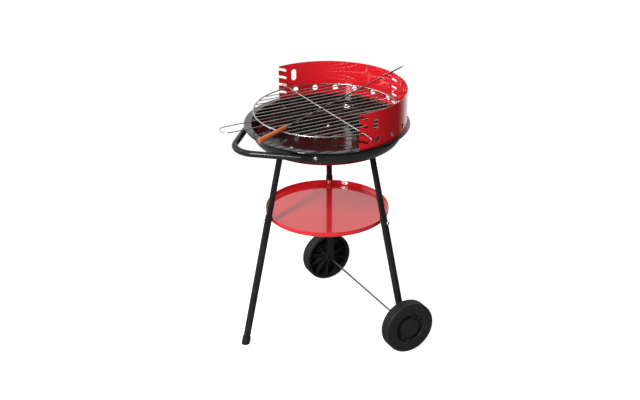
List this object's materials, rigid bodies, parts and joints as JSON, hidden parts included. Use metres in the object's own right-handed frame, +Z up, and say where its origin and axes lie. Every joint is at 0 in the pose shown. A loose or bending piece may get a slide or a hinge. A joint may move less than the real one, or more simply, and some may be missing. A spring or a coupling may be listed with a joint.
{
  "type": "charcoal barbecue grill",
  "caption": "Round charcoal barbecue on wheeled tube legs, with a slotted windshield, a lift-out wire grid, a lower tray, a carry handle and a skewer.",
  "frame": {"origin": "on the floor, at the middle of the bounding box, between the grid's wire loop and the skewer's tip", "axes": "+Z up; the foot leg, the carry handle and the grid's loop point to -Y, the middle of the windshield to +Y, and the axle lies along X"},
  "size_m": [0.4888, 0.5473, 0.6989],
  "materials": {
    "black_enamel": "glossy black enamel",
    "red_enamel": "glossy red enamel",
    "red_tray": "glossy red enamel",
    "black_tube": "semi-gloss black paint",
    "bright_screw": "bright plated steel",
    "foot_plastic": "matte black plastic",
    "axle_steel": "dull drawn steel",
    "wheel_plastic": "matte black plastic",
    "cap_plastic": "matte black plastic",
    "grid_wire": "bright plated wire",
    "skewer_steel": "drawn steel",
    "ferrule_steel": "dull steel",
    "handle_wood": "varnished wood"
  },
  "bodies": {
    "stand": {"fire_bowl": "black_enamel", "windshield_left": "red_enamel", "windshield_right": "red_enamel", "lap_screw": "bright_screw", "lap_nut": "bright_screw", "upper_leg_front": "black_tube", "upper_leg_left": "black_tube", "upper_leg_right": "black_tube", "lower_leg_front": "black_tube", "lower_leg_left": "black_tube", "lower_leg_right": "black_tube", "leg_bolts": "bright_screw", "leg_nuts": "bright_screw", "tray": "red_tray", "tray_bolts": "bright_screw", "tray_nuts": "bright_screw", "foot_cap": "foot_plastic", "axle": "axle_steel", "axle_washers": "axle_steel", "axle_clips": "axle_steel", "carry_handle": "black_tube", "handle_screws": "bright_screw", "handle_nuts": "bright_screw"},
    "left_wheel": {"wheel_left": "wheel_plastic", "hub_cap_left": "cap_plastic"},
    "right_wheel": {"wheel_right": "wheel_plastic", "hub_cap_right": "cap_plastic"},
    "grid": {"grid_ring": "grid_wire", "grid_rods": "grid_wire", "grid_crossbar": "grid_wire", "grid_hooks": "grid_wire", "grid_handle": "grid_wire"},
    "skewer": {"skewer_blade": "skewer_steel", "skewer_ferrule": "ferrule_steel", "skewer_handle": "handle_wood"}
  },
  "joints": [
    {"name": "left_wheel_spin", "type": "hinge", "parent": "stand", "child": "left_wheel", "pos_m": [-0.2264, 0.14438, 0.071], "axis": [1, 0, 0], "continuous": true},
    {"name": "right_wheel_spin", "type": "hinge", "parent": "stand", "child": "right_wheel", "pos_m": [0.2264, 0.14438, 0.071], "axis": [1, 0, 0], "continuous": true},
    {"name": "grid_pull", "type": "slide", "parent": "stand", "child": "grid", "axis": [0, -0.891, 0.454], "range_m": [0, 0.06]},
    {"name": "skewer_lift", "type": "slide", "parent": "grid", "child": "skewer", "axis": [0, 0, 1], "range_m": [0, 0.06]}
  ]
}
